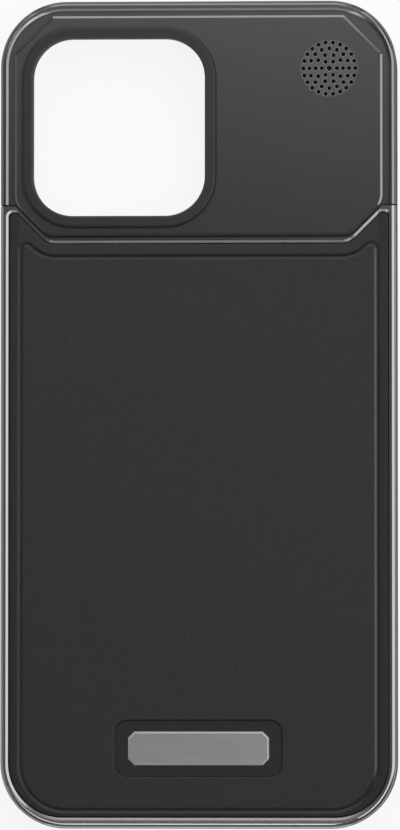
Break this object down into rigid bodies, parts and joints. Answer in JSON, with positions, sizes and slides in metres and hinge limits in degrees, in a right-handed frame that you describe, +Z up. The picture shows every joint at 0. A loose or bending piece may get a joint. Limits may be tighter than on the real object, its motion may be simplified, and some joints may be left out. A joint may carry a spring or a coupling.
{
  "type": "phone case",
  "caption": "Metal-framed phone case with an inlaid leather back, a pull-off cap round the camera window, a drilled scent grille, a blank badge and side keys.",
  "frame": {"origin": "middle of the case's outline, on the plane of the front lip that it lies on", "axes": "+Y along the length towards the camera end, +Z up out of the leather back, +X to the right as seen from the back"},
  "size_m": [0.0814, 0.17, 0.0134],
  "materials": {
    "cap_metal": "dark grey anodised, satin",
    "guard_metal": "near-black anodised, matt",
    "frame_metal": "grey anodised with bright chamfers",
    "key_metal": "grey anodised, satin",
    "leather": "fine grain, matt, pressed lines",
    "badge_metal": "brushed, blank",
    "lining": "short-pile microfibre",
    "scent_felt": "dense felt",
    "cover_plastic": "moulded, matt",
    "strip_steel": "thin spring strip"
  },
  "bodies": {
    "frame": {"lower_frame": "frame_metal", "leather_panel": "leather", "badge_plate": "badge_metal", "lower_lining": "lining", "volume_retainer": "strip_steel", "power_retainer": "strip_steel"},
    "cap": {"upper_shell": "cap_metal", "camera_guard": "guard_metal", "scent_tablet": "scent_felt", "scent_cover": "cover_plastic", "upper_lining": "lining"},
    "volume_up": {"volume_up_key": "key_metal"},
    "volume_down": {"volume_down_key": "key_metal"},
    "power": {"power_key": "key_metal"}
  },
  "joints": [
    {"name": "cap_slide", "type": "slide", "parent": "frame", "child": "cap", "axis": [0, 1, 0], "range_m": [0, 0.015]},
    {"name": "volume_up_press", "type": "slide", "parent": "frame", "child": "volume_up", "axis": [-1, 0, 0], "range_m": [0, 0.00035], "stiffness_N_per_m": 1500},
    {"name": "volume_down_press", "type": "slide", "parent": "frame", "child": "volume_down", "axis": [-1, 0, 0], "range_m": [0, 0.00035], "stiffness_N_per_m": 1500},
    {"name": "power_press", "type": "slide", "parent": "frame", "child": "power", "axis": [1, 0, 0], "range_m": [0, 0.00035], "stiffness_N_per_m": 1500}
  ]
}
